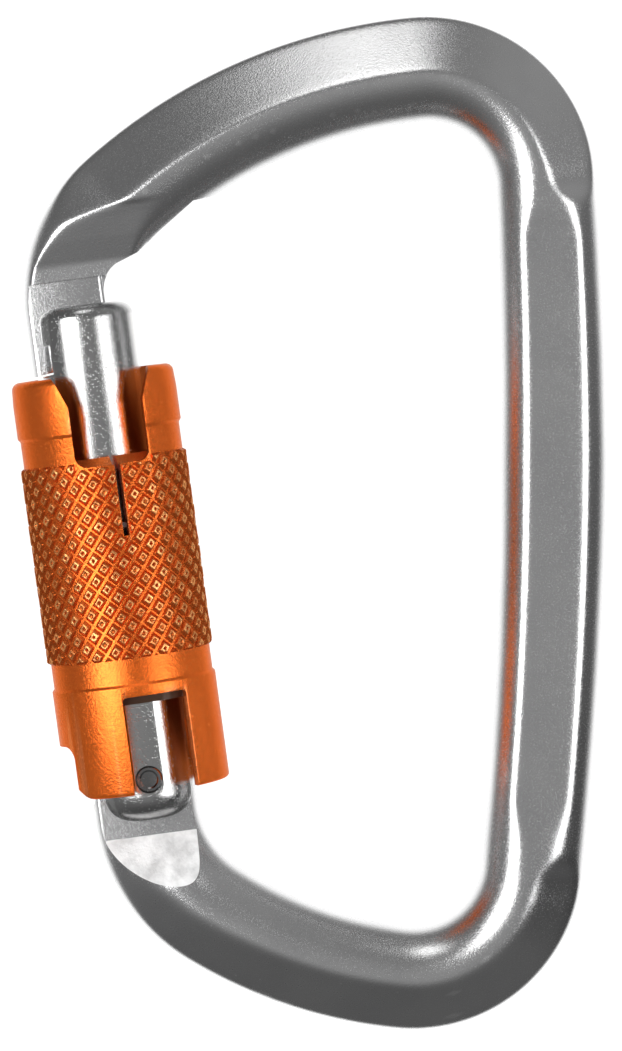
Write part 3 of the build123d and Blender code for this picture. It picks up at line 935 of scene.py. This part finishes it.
def build_floor():
    """A pale floor that curves up behind into a backdrop."""
    low = cad_box[0].z / MM - FLOOR_DROP
    profile = [(FLOOR_FRONT, low), (FLOOR_BACK, low)]
    profile += arc(FLOOR_BACK, low + COVE_R, COVE_R, -90, 0, 16)[1:]
    profile += [(FLOOR_BACK + COVE_R, BACKDROP_TOP)]
    points = []
    for x in (-FLOOR_HALF, FLOOR_HALF):
        points += [(x, y, z) for y, z in profile]
    n = len(profile)
    faces = [(k, k + 1, k + 1 + n, k + n) for k in range(n - 1)]
    floor = make_object("studio_floor", points, faces)
    smooth(floor, 40)
    material, nodes, links, shader = new_material("pale_floor")
    shader.inputs["Roughness"].default_value = 0.9
    grain = noise(nodes, links, 60, 2)
    links.new(mix_colour(nodes, links, grain, (0.93, 0.93, 0.93), (0.90, 0.90, 0.90)),
              shader.inputs["Base Color"])
    shader.inputs["Emission Color"].default_value = (1, 1, 1, 1)
    shader.inputs["Emission Strength"].default_value = 0.62
    floor.data.materials.append(material)
    floor.visible_glossy = False


def softbox(name, azimuth, elevation, distance, width, height, radiance):
    """A rectangular light facing the object; azimuth 0 is the front."""
    a = math.radians(azimuth)
    e = math.radians(elevation)
    place = Vector((math.sin(a) * math.cos(e), -math.cos(a) * math.cos(e), math.sin(e))) * distance
    data = bpy.data.lights.new(name, "AREA")
    data.shape = "RECTANGLE"
    data.size = width
    data.size_y = height
    data.energy = radiance * width * height * math.pi
    lamp = bpy.data.objects.new(name, data)
    lamp.location = place
    lamp.rotation_mode = "QUATERNION"
    lamp.rotation_quaternion = (-place).to_track_quat("-Z", "Y")
    lamp.visible_camera = False
    bpy.context.scene.collection.objects.link(lamp)


def grey(level):
    return (level, level, level)


def build_world():
    """White behind the object and for the camera.  In front, grey.

    In the middle and at the left the grey darkens upward, at the right it brightens upward, and
    low down it is dark all round.
    """
    world = bpy.data.worlds.new("studio")
    bpy.context.scene.world = world
    world.use_nodes = True
    nodes = world.node_tree.nodes
    links = world.node_tree.links
    back = nodes["Background"]
    coords = nodes.new("ShaderNodeTexCoord")
    split = nodes.new("ShaderNodeSeparateXYZ")
    links.new(coords.outputs["Generated"], split.inputs["Vector"])
    height = remap(nodes, links, split.outputs["Z"], -0.25, 0.80, 0, 1)
    ground = remap(nodes, links, split.outputs["Z"], -0.35, -0.85, 0, 1)
    to_left = remap(nodes, links, split.outputs["X"], -0.15, -0.85, 0, 1)
    to_right = remap(nodes, links, split.outputs["X"], 0.10, 0.85, 0, 1)
    middle = mix_colour(nodes, links, height, grey(0.33), grey(0.20))
    left = mix_colour(nodes, links, height, grey(0.22), grey(0.12))
    right = mix_colour(nodes, links, height, grey(0.06), grey(0.40))
    front = mix_colour(nodes, links, to_left, middle, left)
    front = mix_colour(nodes, links, to_right, front, right)
    front = mix_colour(nodes, links, ground, front, grey(0.12))
    depth = remap(nodes, links, split.outputs["Y"], 0.46, 0.78, 0, 1)
    around = mix_colour(nodes, links, depth, front, grey(1.4))
    path = nodes.new("ShaderNodeLightPath")
    seen = mix_colour(nodes, links, path.outputs["Is Camera Ray"], around, grey(0.98))
    links.new(seen, back.inputs["Color"])
    back.inputs["Strength"].default_value = 1.0


def build_camera():
    """Level with the object and just above it, square to the ring."""
    data = bpy.data.cameras.new("camera")
    data.sensor_width = 36
    data.lens = CAMERA_LENS
    data.clip_start = 0.01
    data.clip_end = 20
    camera = bpy.data.objects.new("camera", data)
    target = Vector((0.0002, 0, 0))
    e = math.radians(CAMERA_RISE)
    away = Vector((0, -math.cos(e), math.sin(e)))
    camera.location = target + away * CAMERA_DISTANCE
    camera.rotation_mode = "QUATERNION"
    camera.rotation_quaternion = (-away).to_track_quat("-Z", "Y")
    bpy.context.scene.collection.objects.link(camera)
    bpy.context.scene.camera = camera


build_floor()
build_world()
build_camera()
softbox("softbox_left", -37, 5, 0.6, 0.32, 0.34, 6.4)
softbox("softbox_right", 45, 0, 0.6, 0.30, 0.32, 4.2)
softbox("softbox_top", -17, 63, 0.6, 0.19, 0.22, 2.2)
bpy.context.scene.view_settings.view_transform = "Standard"
